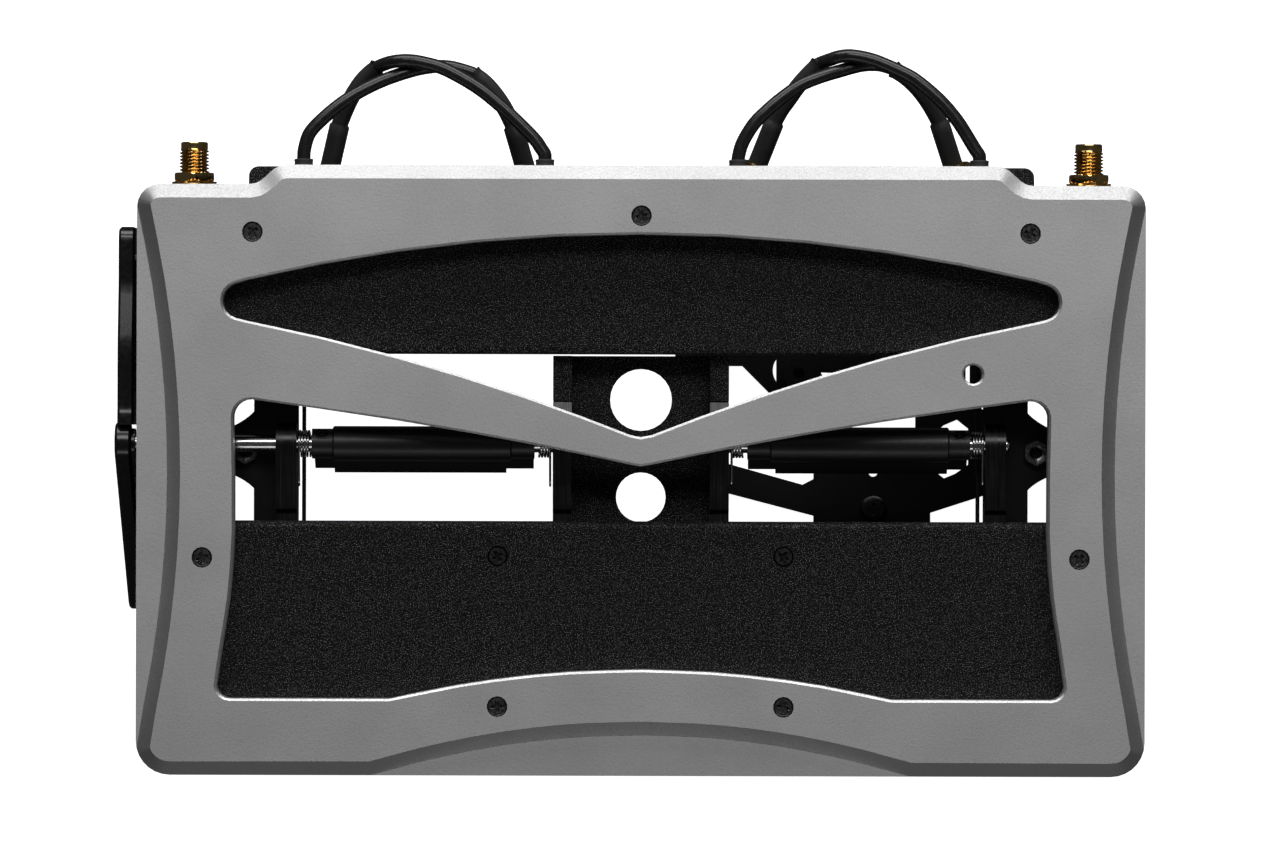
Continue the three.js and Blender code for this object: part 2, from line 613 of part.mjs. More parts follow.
/** A hexagon nut with its washer captive under it. */
function jackNut(side) {
  const from = CHANNEL.front + GAP;
  const washer = towardsY(turned(rodProfile(5.15, from, from + 0.8), 18));
  const body = plateXZ(hexagon(8), from + 0.6, from + 2.6);
  const bore = towardsY(turned(rodProfile(3.5, from - 1, from + 4), 16));
  return onSide(cut(join(washer, body), bore).translate(SMA.x, 0, SMA.z), side);
}

function earNut(side) {
  const body = plateXY(hexagon(EAR.nutFlats), DECK.top + GAP, DECK.top + GAP + 2);
  const bore = turned(rodProfile(1.25, DECK.top - 1, DECK.top + 4), 12);
  return onSide(cut(body, bore).translate(EAR.x, EAR.y, 0), side);
}

// Boards, connectors and the dock plate inside
function slotConnector(side) {
  const wall = REAR_BOX.slotEnd;
  const { centre, middle } = SLOT;
  const dShape = (halfWidth, halfHeight, from, to) => {
    const outline = new THREE.Shape([
      point(-halfWidth + 1, -halfHeight), point(halfWidth - 1, -halfHeight),
      point(halfWidth, halfHeight - 1), point(halfWidth - 1, halfHeight),
      point(-halfWidth + 1, halfHeight), point(-halfWidth, halfHeight - 1),
    ]);
    return plateXZ(outline, from, to).translate(centre, 0, middle);
  };
  const flangeBack = wall + GAP;
  const flange = block(
    centre - 26.5, centre + 26.5, flangeBack, flangeBack + 1.2, middle - 6.25, middle + 6.25);
  const screwHole = towardsY(turned(rodProfile(1.6, wall - 1, wall + 3), 10));
  const screwHoles = [-23.5, 23.5].map((x) => screwHole.clone().translate(centre + x, 0, middle));
  const solid = join(flange, dShape(19.4, 4, wall - 6, wall + 1), dShape(19.4, 4.2, wall + 1, wall + 7));
  return onSide(cut(solid, dShape(18.6, 3.4, wall + 3.5, wall + 8), ...screwHoles), side);
}

/** A circuit board on legs, with the larger parts on it. */
function circuitBoard(x, back, front, legXs, chips) {
  const top = DECK.under + SHEET + 3.9;
  const legs = legXs.flatMap((legX) => [-1, 1].map((side) => block(
    side * legX - 2, side * legX + 2, front - 7, front - 3, DECK.under + SHEET + GAP, top - 1)));
  const parts = chips.map(([cx, cy, width, depth, height]) => block(
    cx - width / 2, cx + width / 2, cy - depth / 2, cy + depth / 2, top - 0.5, top + height));
  return join(block(-x, x, back, front, top - 1.6, top), ...legs, ...parts);
}

function mainBoard() {
  return circuitBoard(84, -60, -14.5, [60, 20], [
    [-50, -40, 16, 16, 1.4], [0, -44, 20, 20, 2], [46, -38, 12, 12, 1.2], [-18, -50, 8, 8, 3],
    [70, -50, 14, 8, 3],
  ]);
}

function antennaBoard() {
  return circuitBoard(76, 29, 57, [66, 36], [
    [-48, 42, 18, 14, 2.2], [0, 42, 22, 16, 2.6], [48, 42, 18, 14, 2.2], [-20.5, 50, 5, 5, 1.5],
    [20.5, 50, 5, 5, 1.5],
  ]);
}

/** The trussed plate that closes the right slot from below. */
function dockPlate() {
  const webs = [
    [[13, 2.8], [34.2, -3.1], [36.5, -1.9], [36.5, 6.8], [21.4, 21.9], [13, 21.9]],
    [[13, -38], [36.5, -30], [36.5, -9.7], [13, -3.6]],
    [[61.2, -30], [85.9, -36], [85.9, -1], [61.2, -9]],
    [[62.4, -0.4], [64.1, -1.7], [66.5, -0.7], [69.2, 1.2], [69.2, 8.8], [66.8, 10.7], [64, 9.5], [62.2, 8]],
    [[72, 13], [85.9, 8], [85.9, 40], [72, 32]],
    [[68.6, 13.5], [69.5, 13.5], [69.5, 28], [68.6, 28]],
    [[12, 28], [32, 28], [18, 52], [12, 52]],
    [[40, 28], [66, 28], [54, 52], [40, 52]],
    [[48, 4], [58, 8], [58, 20], [38, 20.6], [41, 15], [44, 8]],
  ].map((corners) => corners.map(([x, y]) => point(x, y)));
  const halfMoon = corner(31.9, 21, 4.05, 145, 215, 8);
  const drilled = (x, y, radius) => corner(x, y, radius, 0, 330, 11);
  const openings = [...webs, halfMoon, drilled(49.1, -0.4, 1), drilled(49.2, -8.3, 1.6)];
  const boss = turned(rodProfile(3.45, 0.5, 2.5), 24).translate(33.3, 20.5, 0);
  const blindHole = turned(rodProfile(1.15, 0.6, 3), 16).translate(33.3, 20.5, 0);
  const plate = cut(
    block(7.2, 86.9, -44.4, 58, 0, 1.5),
    ...openings.map((outline) => plateXY(new THREE.Shape(outline), -1, 3)));
  return cut(join(plate, boss), blindHole);
}

function dockScrew() {
  return turned([[0, 0.2], [1.25, 0.2], [1.25, 1.8], [2.85, 1.8], [2.85, 2.2], [2.5, 2.5], [0, 2.5]], 14)
    .translate(49.2, -8.3, 0);
}

// Antenna jumpers: a coaxial lead from a grommet to a sleeved plug, looping over its neighbour
const JUMPERS = {
  left_outer: {
    lead: [
      [-69.9, 64.7, 34], [-69.7, 66.6, 34], [-68.7, 69.6, 34], [-66.2, 72.4, 33.9], [-62.3, 75.7, 33.6],
      [-58.3, 78.3, 33], [-54.2, 80.4, 32], [-50.1, 82, 30.9], [-46, 83.2, 30], [-42.6, 83.7, 29.5],
      [-39.8, 83.6, 29.1], [-37.6, 83.1, 28.8], [-35.6, 82.5, 28.55],
    ],
    sleeve: [
      [-35, 82.2, 28.45], [-32.6, 80.4, 27.9], [-30.6, 78.2, 27.3], [-28.6, 75.3, 26.5], [-26.9, 72, 25.7],
    ],
    heading: [2.5, -8.6, -2.3],
  },
  left_inner: {
    lead: [
      [-20, 64.7, 34], [-20.1, 65.5, 34], [-20.9, 66.7, 34], [-22, 68.3, 34], [-25.1, 71.5, 34],
      [-29.3, 75.4, 34], [-33.4, 78.7, 34], [-37.6, 81.3, 33.9], [-41.7, 83.3, 33.7], [-45.9, 84.4, 33.3],
      [-48.2, 84.7, 32.9], [-50.1, 84.7, 32.5], [-52.3, 84.4, 31.5], [-54.6, 83.65, 29.9],
    ],
    sleeve: [
      [-55, 83.4, 29.6], [-56.7, 82.1, 28.8], [-58.4, 80.3, 28.1], [-60.2, 77.6, 27.2], [-61.5, 75, 26.5],
      [-62.7, 72.2, 25.7],
    ],
    heading: [-2.2, -9.2, -2.4],
  },
  right_inner: {
    lead: [
      [20, 64.7, 34], [20.6, 67.2, 34], [21.8, 69.6, 34], [23.5, 72.1, 34], [25.7, 74.3, 34],
      [28.7, 76.9, 33.8], [32.8, 79.8, 33.4], [37, 81.6, 32.6], [41.1, 82.9, 31.3], [43.4, 83.6, 30.6],
      [45.4, 84.1, 30.1], [47.5, 84.3, 29.7], [49.6, 84.2, 29.4], [51.8, 83.6, 29.1],
    ],
    sleeve: [
      [52.3, 83.4, 29.05], [54.9, 81.7, 28.4], [57.1, 79.7, 27.8], [59, 77.4, 27.2], [60.5, 75.1, 26.5],
      [61.7, 73, 25.9],
    ],
    heading: [3.1, -9.2, -2.4],
  },
  right_outer: {
    lead: [
      [69.9, 64.7, 34], [69.8, 65.4, 34], [69, 66.6, 34], [67.9, 68.4, 34], [65.3, 72.5, 34],
      [61.7, 76.7, 34], [57, 80.7, 33.9], [53.7, 82.6, 33.8], [49.4, 84.5, 33.5], [47.4, 85.2, 33.3],
      [45.3, 85.7, 33], [42.9, 86, 32.6], [40.8, 85.8, 31.8], [38.8, 85.2, 30.7], [37.1, 84.6, 29.8],
    ],
    sleeve: [
      [36.6, 84.3, 29.6], [34.3, 82, 28.7], [32.3, 79.7, 27.9], [30.6, 77.3, 27.2], [29, 75.1, 26.5],
      [27.8, 73, 25.9],
    ],
    heading: [-3.6, -9.1, -2.4],
  },
};

/** A round cord or sleeve along a list of points. */
function cordAlong(points, radius, steps) {
  const places = points.map((place) => new THREE.Vector3(...place));
  const curve = new THREE.CatmullRomCurve3(places, false, 'centripetal');
  const section = new THREE.Shape(corner(0, 0, radius, 0, 315, 7));
  return new THREE.ExtrudeGeometry(section, { steps, extrudePath: curve });
}

function headingTurn({ heading }) {
  return new THREE.Quaternion().setFromUnitVectors(
    new THREE.Vector3(0, 0, 1), new THREE.Vector3(...heading).normalize());
}

/** The plug of a jumper: curved sleeve, crimp ferrule and the body that the coupling nut turns on. */
function jumperPlug(route) {
  const { ferruleRadius, ferruleLength, bodyRadius, bodyLength } = PLUG;
  const joint = new THREE.Vector3(...route.sleeve.at(-1));
  const straight = turned([
    [0, -0.8], [ferruleRadius - 0.3, -0.8], [ferruleRadius, 0.2], [ferruleRadius, ferruleLength],
    [bodyRadius, ferruleLength + 0.3], [bodyRadius, ferruleLength + bodyLength],
    [0, ferruleLength + bodyLength],
  ], 12).applyQuaternion(headingTurn(route)).translate(joint.x, joint.y, joint.z);
  return join(cordAlong(route.sleeve, 1.8, 7), straight);
}

/** The coupling nut, standing on the origin with its axis up. */
function couplingNut() {
  const { nutFlats, nutLength, bodyRadius } = PLUG;
  const bore = turned(rodProfile(bodyRadius + GAP, -1, nutLength + 1), 14);
  const neck = turned(rodProfile(3.6, 0, nutLength - 1), 14);
  return cut(join(plateXY(hexagon(nutFlats), 1, nutLength), neck), bore);
}

/** A rubber grommet through the tray's front wall, closed by the lead that fills it. */
function grommet() {
  const { front } = FRONT_BAR;
  const wallInside = front - SHEET;
  return towardsY(turned([
    [0, wallInside - 1.5], [2.6, wallInside - 1.5], [2.6, wallInside - GAP], [1.7, wallInside - GAP],
    [1.7, front + GAP], [1.95, front + GAP], [1.95, front + 1.5], [1.75, front + 1.7], [0, front + 1.7],
  ], 12));
}

// Assembly
const unit = new THREE.Group();

function add(name, geometry, material) {
  const mesh = new THREE.Mesh(geometry, material);
  mesh.name = name;
  unit.add(mesh);
  return mesh;
}

add('top_panel', topPanel(), anodisedSilver);
add('front_cover', frontCover(), powderCoat);
add('front_tray', frontTray(), powderCoat);
add('rear_cover', rearCover(), powderCoat);
add('rear_box', rearBox(), powderCoat);
add('centre_bracket', centreBracket(), powderCoat);
add('dock_plate', dockPlate(), powderCoat);
add('dock_screw', dockScrew(), darkScrew);
add('main_board', mainBoard(), boardGreen);
add('antenna_board', antennaBoard(), boardGreen);
add('cross_shaft', crossShaft(), polishedSteel);
add('release_lever', releaseLever(), glossBlack);
add('lever_guard', leverGuard(), glossBlack);

PANEL_SCREWS.forEach(([x, y], i) => {
  add(`panel_screw_${i + 1}`, flatHeadScrew(PANEL_SCREW_TOP, 10.5).translate(x, y, 0), darkScrew);
});
BOX_SCREWS.forEach(([x, y], i) => {
  add(`box_screw_${i + 1}`, flatHeadScrew(BOX_SCREW_TOP, 5).translate(x, y, 0), darkScrew);
});

for (const [side, hand] of [[-1, 'left'], [1, 'right']]) {
  add(`${hand}_side_channel`, sideChannel(side), powderCoat);
  add(`${hand}_rail`, sideRail(side), blackAnodised);
  add(`${hand}_rail_nut`, earNut(side), darkScrew);
  add(`${hand}_slot_connector`, slotConnector(side), blackAnodised);
  add(`${hand}_antenna_jack`, antennaJack(side), gold);
  add(`${hand}_jack_nut`, jackNut(side), gold);
  add(`${hand}_latch_bar`, latchBar(side), blackAnodised);
  add(`${hand}_inner_arm`, onSide(bearingArm(...ARM.inner, true), side), blackAnodised);
  add(`${hand}_outer_arm`, onSide(bearingArm(...ARM.outer, false), side), blackAnodised);
  add(`${hand}_inner_spring`, onSide(torsionSpring(SPRING.inner, ARM.inner[1]), side), polishedSteel);
  add(`${hand}_outer_spring`, onSide(torsionSpring(SPRING.outer, ARM.outer[0]), side), polishedSteel);
}

for (const [name, route] of Object.entries(JUMPERS)) {
  const [x, , z] = route.lead[0];
  add(`${name}_grommet`, grommet().translate(x, 0, z), blackRubber);
  add(`${name}_lead`, cordAlong(route.lead, JUMPER.diameter / 2, 14), cableJacket);
  add(`${name}_plug`, jumperPlug(route), heatShrink);
  const nut = add(`${name}_coupling_nut`, couplingNut(), gold);
  const turn = headingTurn(route);
  nut.quaternion.copy(turn);
  nut.position.set(...route.sleeve.at(-1)).add(
    new THREE.Vector3(0, 0, PLUG.ferruleLength + 0.6).applyQuaternion(turn));
}

// The origin is the middle of the unit's footprint, jumpers aside
const FOOTPRINT_CENTRE = { x: (PANEL.halfWidth + LEVER_OUTSIDE) / 2, y: (PANEL.back + SMA.tip) / 2 };
unit.position.set(-FOOTPRINT_CENTRE.x, -FOOTPRINT_CENTRE.y, 0);

export default unit;
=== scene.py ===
import json
import math

import bpy
import bmesh
from mathutils import Matrix, Vector


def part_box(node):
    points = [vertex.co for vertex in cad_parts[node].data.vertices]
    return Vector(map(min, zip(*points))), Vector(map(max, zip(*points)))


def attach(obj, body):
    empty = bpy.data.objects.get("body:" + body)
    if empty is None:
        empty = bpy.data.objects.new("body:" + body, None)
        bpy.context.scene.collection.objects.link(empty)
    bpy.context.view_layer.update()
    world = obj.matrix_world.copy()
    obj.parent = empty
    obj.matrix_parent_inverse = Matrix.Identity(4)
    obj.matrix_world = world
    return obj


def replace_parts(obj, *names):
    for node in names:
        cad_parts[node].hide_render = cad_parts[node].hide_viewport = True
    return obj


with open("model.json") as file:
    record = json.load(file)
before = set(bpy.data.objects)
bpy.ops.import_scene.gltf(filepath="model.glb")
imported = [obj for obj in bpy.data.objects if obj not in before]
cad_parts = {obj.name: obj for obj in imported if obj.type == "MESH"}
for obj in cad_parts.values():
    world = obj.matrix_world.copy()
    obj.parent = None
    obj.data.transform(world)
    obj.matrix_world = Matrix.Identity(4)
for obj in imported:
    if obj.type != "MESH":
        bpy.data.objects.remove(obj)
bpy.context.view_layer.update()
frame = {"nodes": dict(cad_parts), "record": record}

MM = 0.001

# Design coordinates: X = 0 on the panel's centre line, the panel from Y -62.8 to Y 62.8, in millimetres
_low, _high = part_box("top_panel")
ORIGIN = Vector(((_low.x + _high.x) / 2, (_low.y + _high.y) / 2, 0))
PANEL_TOP = _high.z


def at(x, y, z):
    """A place in design millimetres, as metres in the row frame."""
    return ORIGIN + Vector((x, y, z)) * MM


# Camera, straight above, as in the photograph
PHOTO_WIDTH_MM = 262.6  # what the photograph's width spans at the panel's top
CAMERA_HEIGHT = 1.5
camera_data = bpy.data.cameras.new("camera")
camera_data.sensor_width = 36
camera_data.lens = 36 * CAMERA_HEIGHT / (PHOTO_WIDTH_MM * MM)
camera_data.clip_end = 20
camera = bpy.data.objects.new("camera", camera_data)
camera.location = at(-0.3, 9.1, 0) + Vector((0, 0, PANEL_TOP + CAMERA_HEIGHT))
camera.rotation_euler = (0, 0, math.radians(0.15))
bpy.context.scene.collection.objects.link(camera)
bpy.context.scene.camera = camera


# Shapes
def link(name, data):
    obj = bpy.data.objects.new(name, data)
    bpy.context.scene.collection.objects.link(obj)
    return obj


def skin(name, parts, sharp=35):
    """A mesh piece from parts: each a list of rings of equally many points, joined in order.

    A part is (rings, ends), where ends is "capped", "loop" for a last ring joined to the first, or "open".
    """
    bm = bmesh.new()
    for rings, ends in parts:
        rows = [[bm.verts.new(point) for point in ring] for ring in rings]
        pairs = list(zip(rows, rows[1:]))
        if ends == "loop":
            pairs.append((rows[-1], rows[0]))
        for lower, upper in pairs:
            for i in range(len(lower)):
                j = (i + 1) % len(lower)
                bm.faces.new((lower[i], lower[j], upper[j], upper[i]))
        if ends == "capped":
            bm.faces.new(reversed(rows[0]))
            bm.faces.new(rows[-1])
    bmesh.ops.remove_doubles(bm, verts=bm.verts, dist=1e-7)
    bmesh.ops.dissolve_degenerate(bm, edges=bm.edges, dist=1e-7)
    bmesh.ops.recalc_face_normals(bm, faces=bm.faces)
    limit = math.radians(sharp)
    for face in bm.faces:
        face.smooth = True
    for edge in bm.edges:
        edge.smooth = not edge.is_manifold or edge.calc_face_angle() < limit
    mesh = bpy.data.meshes.new(name)
    bm.to_mesh(mesh)
    bm.free()
    return link(name, mesh)


def frame_at(place, heading):
    """A matrix whose Z runs along heading, at a place."""
    turn = Vector(heading).to_track_quat("Z", "Y")
    return Matrix.LocRotScale(place, turn, None)


def box_centre(node):
    """The middle of a CAD node's box."""
    low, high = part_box(node)
    return (low + high) / 2


def standing_at(node):
    """A matrix on the floor under the middle of a CAD node, so that heights are Z values."""
    centre = box_centre(node)
    return Matrix.Translation((centre.x, centre.y, 0))


def facing_front(place):
    """A matrix at a place whose Z runs towards +Y. The place's own Y is dropped, so heights are Y values."""
    return Matrix.Translation((place.x, 0, place.z)) @ Matrix.Rotation(-math.pi / 2, 4, "X")


def ring(radius, height, count, where):
    """A ring about Z, in millimetres, moved by a matrix. The radius may be a function of the angle."""
    size = radius if callable(radius) else lambda angle: radius
    points = []
    for i in range(count):
        angle = 2 * math.pi * i / count
        r = size(angle)
        points.append(where @ Vector((r * math.cos(angle) * MM, r * math.sin(angle) * MM, height * MM)))
    return points


def turned(profile, count, where):
    """Rings of a turned form. The profile is (radius, height) pairs, in millimetres."""
    return [ring(radius, height, count, where) for radius, height in profile]


def hexagonal(across_flats, limit):
    """The radius of a hexagon cut back to a circle, as on a chamfered nut. A corner lies at angle 0."""
    def size(angle):
        from_flat = (angle + math.pi / 6) % (math.pi / 3) - math.pi / 6
        corner = abs(from_flat) - math.pi / 6
        return min(limit, across_flats / 2 / math.cos(corner))
    return size


def cross(arm, half_width):
    """The radius of a cross recess in a screw head."""
    def size(angle):
        off = abs((angle + math.pi / 4) % (math.pi / 2) - math.pi / 4)
        along = arm / math.cos(off)
        return along if off < 1e-6 else min(along, half_width / math.sin(off))
    return size


def smooth_path(points, steps):
    """Points of a Catmull-Rom curve through the given ones."""
    ends = [2 * points[0] - points[1], *points, 2 * points[-1] - points[-2]]
    path = []
    for a, b, c, d in zip(ends, ends[1:], ends[2:], ends[3:]):
        for i in range(steps):
            t = i / steps
            path.append(0.5 * (2 * b + (c - a) * t + (2 * a - 5 * b + 4 * c - d) * t * t
                               + (3 * b - a - 3 * c + d) * t * t * t))
    return [*path, points[-1]]


def tube(path, radii, count):
    """Rings along a path."""
    rings = []
    normal = Vector((0, 0, 1))
    for i, place in enumerate(path):
        ahead = path[min(i + 1, len(path) - 1)]
        behind = path[max(i - 1, 0)]
        along = (ahead - behind).normalized()
        normal = (normal - along * normal.dot(along)).normalized()
        other = along.cross(normal)
        rings.append([
            place + (normal * math.cos(angle) + other * math.sin(angle)) * radii[i]
            for angle in (2 * math.pi * k / count for k in range(count))])
    return rings


def wire(name, path, radius, resolution=5):
    """A curve piece of one open spline."""
    curve = bpy.data.curves.new(name, "CURVE")
    curve.dimensions = "3D"
    curve.bevel_depth = 1
    curve.bevel_resolution = resolution
    curve.use_fill_caps = True
    spline = curve.splines.new("POLY")
    spline.points.add(len(path) - 1)
    for point, place in zip(spline.points, path):
        point.co = (*place, 1)
        point.radius = radius
    spline.use_smooth = True
    return link(name, curve)


# Jumpers: route of each lead, then of its sleeve, and the way its plug points, as in the CAD
LEAD_RADIUS = 1.4 * MM
FERRULE_LENGTH = 10
NUT_OFFSET = 0.6
ANTENNA_THREAD_PITCH = 0.706
JUMPERS = {
    "left_outer": (
        [(-69.9, 64.7, 34), (-69.7, 66.6, 34), (-68.7, 69.6, 34), (-66.2, 72.4, 33.9),
         (-62.3, 75.7, 33.6), (-58.3, 78.3, 33), (-54.2, 80.4, 32), (-50.1, 82, 30.9), (-46, 83.2, 30),
         (-42.6, 83.7, 29.5), (-39.8, 83.6, 29.1), (-37.6, 83.1, 28.8), (-35.6, 82.5, 28.55)],
        [(-35, 82.2, 28.45), (-32.6, 80.4, 27.9), (-30.6, 78.2, 27.3), (-28.6, 75.3, 26.5),
         (-26.9, 72, 25.7)],
        (2.5, -8.6, -2.3)),
    "left_inner": (
        [(-20, 64.7, 34), (-20.1, 65.5, 34), (-20.9, 66.7, 34), (-22, 68.3, 34), (-25.1, 71.5, 34),
         (-29.3, 75.4, 34), (-33.4, 78.7, 34), (-37.6, 81.3, 33.9), (-41.7, 83.3, 33.7),
         (-45.9, 84.4, 33.3), (-48.2, 84.7, 32.9), (-50.1, 84.7, 32.5), (-52.3, 84.4, 31.5),
         (-54.6, 83.65, 29.9)],
        [(-55, 83.4, 29.6), (-56.7, 82.1, 28.8), (-58.4, 80.3, 28.1), (-60.2, 77.6, 27.2),
         (-61.5, 75, 26.5), (-62.7, 72.2, 25.7)],
        (-2.2, -9.2, -2.4)),
    "right_inner": (
        [(20, 64.7, 34), (20.6, 67.2, 34), (21.8, 69.6, 34), (23.5, 72.1, 34), (25.7, 74.3, 34),
         (28.7, 76.9, 33.8), (32.8, 79.8, 33.4), (37, 81.6, 32.6), (41.1, 82.9, 31.3),
         (43.4, 83.6, 30.6), (45.4, 84.1, 30.1), (47.5, 84.3, 29.7), (49.6, 84.2, 29.4),
         (51.8, 83.6, 29.1)],
        [(52.3, 83.4, 29.05), (54.9, 81.7, 28.4), (57.1, 79.7, 27.8), (59, 77.4, 27.2),
         (60.5, 75.1, 26.5), (61.7, 73, 25.9)],
        (3.1, -9.2, -2.4)),
    "right_outer": (
        [(69.9, 64.7, 34), (69.8, 65.4, 34), (69, 66.6, 34), (67.9, 68.4, 34), (65.3, 72.5, 34),
         (61.7, 76.7, 34), (57, 80.7, 33.9), (53.7, 82.6, 33.8), (49.4, 84.5, 33.5), (47.4, 85.2, 33.3),
         (45.3, 85.7, 33), (42.9, 86, 32.6), (40.8, 85.8, 31.8), (38.8, 85.2, 30.7), (37.1, 84.6, 29.8)],
        [(36.6, 84.3, 29.6), (34.3, 82, 28.7), (32.3, 79.7, 27.9), (30.6, 77.3, 27.2), (29, 75.1, 26.5),
         (27.8, 73, 25.9)],
        (-3.6, -9.1, -2.4)),
}


def sleeve_rings(path, ferrule_from):
    """The heat-shrink over a lead and its ferrule: a flared mouth, a thin wall and a step onto the metal."""
    outer = []
    for i in range(len(path)):
        step = min(1, max(0, i - ferrule_from))
        flare = max(0, 1 - i / 2)
        outer.append((1.74 + 0.2 * flare + 0.36 * step) * MM)
    bore = tube(path[:5], [1.84 * MM, 1.66 * MM, 1.52 * MM, 1.46 * MM, 1.42 * MM], 32)
    shell = tube(path, outer, 32)
    end = tube(path[-2:], [1.6 * MM] * 2, 32)[-1]
    return [*reversed(bore), *shell, end]


def plug_body(where):
    """A gold plug body with an insulator and a centre pin, standing on the ferrule's end."""
    shell = turned([
        (1.5, -0.6), (1.9, -0.6), (1.9, -0.1), (2.4, 0.2), (2.4, 5.6), (2.25, 5.9), (2.05, 5.9), (2.05, 5.3),
        (1.5, 5.3)], 32, where)
    pin = turned([(0.45, 5.2), (0.45, 6.4), (0.25, 6.9), (0.02, 7)], 12, where)
    return [(shell, "capped"), (pin, "capped")]


def insulator(where):
    return [(turned([(0.5, 5.35), (2.0, 5.35), (2.0, 5.5), (0.5, 5.5)], 24, where), "loop")]


def coupling_nut(where):
    """A hexagonal coupling nut: chamfered flats, a plain neck with a groove, and a threaded bore."""
    count = 96
    flats = 8
    rings = []
    for limit, height in [(3.45, 0), (3.6, 0.15), (3.6, 0.5), (3.45, 0.6), (3.45, 0.85), (3.6, 0.95)]:
        rings.append(ring(limit, height, count, where))
    for limit, height in [(4.05, 1.05), (4.3, 1.2), (4.62, 1.5), (4.62, 6.4), (4.3, 6.75), (3.75, 7)]:
        rings.append(ring(hexagonal(flats, limit), height, count, where))
    rings.append(ring(3.15, 7, count, where))
    height = 6.9
    while height > 2.2:
        def groove(angle, height=height):
            turn = (height / ANTENNA_THREAD_PITCH + angle / (2 * math.pi)) % 1
            return 2.82 + 0.3 * abs(2 * turn - 1)
        rings.append(ring(groove, height, count, where))
        height -= ANTENNA_THREAD_PITCH / 6
    rings.append(ring(2.7, 2, count, where))
    rings.append(ring(2.7, 0, count, where))
    return [(rings, "loop")]


def grommet_rings(node):
    """A grommet through the tray's wall: a flange inside, a rolled lip outside and a bore for the lead."""
    low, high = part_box(node)
    where = facing_front(box_centre(node))
    back, tip = low.y / MM, high.y / MM
    return turned([
        (1.42, back), (2.6, back), (2.6, back + 1.2), (1.7, back + 1.2), (1.7, tip - 1.4), (1.9, tip - 1.38),
        (1.96, tip - 1.25), (1.9, tip - 1.05), (1.9, tip - 0.6), (1.98, tip - 0.4), (1.95, tip - 0.12),
        (1.78, tip), (1.5, tip - 0.05), (1.42, tip - 0.3)], 48, where)


jumper_pieces = {}
for name, (lead, sleeve, heading) in JUMPERS.items():
    lead_points = [at(*place) for place in lead]
    sleeve_points = [at(*place) for place in sleeve]
    along = Vector(heading).normalized()
    joint = sleeve_points[-1]
    crimp = joint + along * 6 * MM
    root = [lead_points[0] - Vector((0, back * MM, 0)) for back in (3.4, 2.2, 1)]
    path = smooth_path([*root, *lead_points, *sleeve_points, crimp], 6)
    cord = wire(f"{name}_lead_cord", path, LEAD_RADIUS, 7)
    sleeve_path = smooth_path(sleeve_points, 8)
    straight = [joint + along * (FERRULE_LENGTH * MM * part) for part in (0.04, 0.08, 0.3, 0.6, 0.9, 1)]
    tube_path = sleeve_path + straight
    shrink = skin(f"{name}_sleeve", [(sleeve_rings(tube_path, len(sleeve_path)), "open")], 50)
    where = frame_at(joint + along * FERRULE_LENGTH * MM, along)
    body = skin(f"{name}_plug_body", plug_body(where), 40)
    white = skin(f"{name}_insulator", insulator(where), 40)
    nut_place = frame_at(joint + along * (FERRULE_LENGTH + NUT_OFFSET) * MM, along)
    nut = skin(f"{name}_nut", coupling_nut(nut_place), 28)
    collar = skin(f"{name}_collar", [(grommet_rings(f"{name}_grommet"), "loop")], 30)
    jumper_pieces[name] = (cord, shrink, body, white, nut, collar)
    for piece in (cord, shrink, body, white, collar):
        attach(piece, "housing")
    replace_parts(collar, f"{name}_grommet")
    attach(nut, f"{name}_nut")
    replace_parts(cord, f"{name}_lead")
    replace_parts(shrink, f"{name}_plug")
    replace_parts(nut, f"{name}_coupling_nut")


# Materials
def noise(tree, scale, detail=2.0, stretch=None):
    """Fine noise in the object's own metres, and stretched along an axis if asked."""
    place = tree.nodes.new("ShaderNodeTexCoord")
    texture = tree.nodes.new("ShaderNodeTexNoise")
    texture.inputs["Scale"].default_value = scale
    texture.inputs["Detail"].default_value = detail
    source = place.outputs["Object"]
    if stretch:
        mapping = tree.nodes.new("ShaderNodeMapping")
        mapping.inputs["Scale"].default_value = stretch
        tree.links.new(source, mapping.inputs["Vector"])
        source = mapping.outputs["Vector"]
    tree.links.new(source, texture.inputs["Vector"])
    return texture.outputs["Fac"]


def ramp(tree, source, stops):
    """Maps a value to colours. The stops are (position, colour or grey level) pairs."""
    node = tree.nodes.new("ShaderNodeValToRGB")
    elements = node.color_ramp.elements
    while len(elements) < len(stops):
        elements.new(0.5)
    for element, (position, colour) in zip(elements, stops):
        element.position = position
        red, green, blue = (colour,) * 3 if isinstance(colour, (int, float)) else colour
        element.color = (red, green, blue, 1)
    tree.links.new(source, node.inputs["Fac"])
    return node.outputs["Color"]


def spread(tree, source, low, high, start=0.3, end=0.7):
    """Maps a value from its usual range to another range."""
    node = tree.nodes.new("ShaderNodeMapRange")
    for socket, value in zip(("From Min", "From Max", "To Min", "To Max"), (start, end, low, high)):
        node.inputs[socket].default_value = value
    tree.links.new(source, node.inputs["Value"])
    return node.outputs["Result"]


def combine(tree, a, b, operation="MULTIPLY"):
    node = tree.nodes.new("ShaderNodeMath")
    node.operation = operation
    tree.links.new(a, node.inputs[0])
    tree.links.new(b, node.inputs[1])
    return node.outputs["Value"]


def bump(tree, shader, source, depth, strength=1.0):
    node = tree.nodes.new("ShaderNodeBump")
    node.inputs["Distance"].default_value = depth
    node.inputs["Strength"].default_value = strength
    tree.links.new(source, node.inputs["Height"])
    tree.links.new(node.outputs["Normal"], shader.inputs["Normal"])


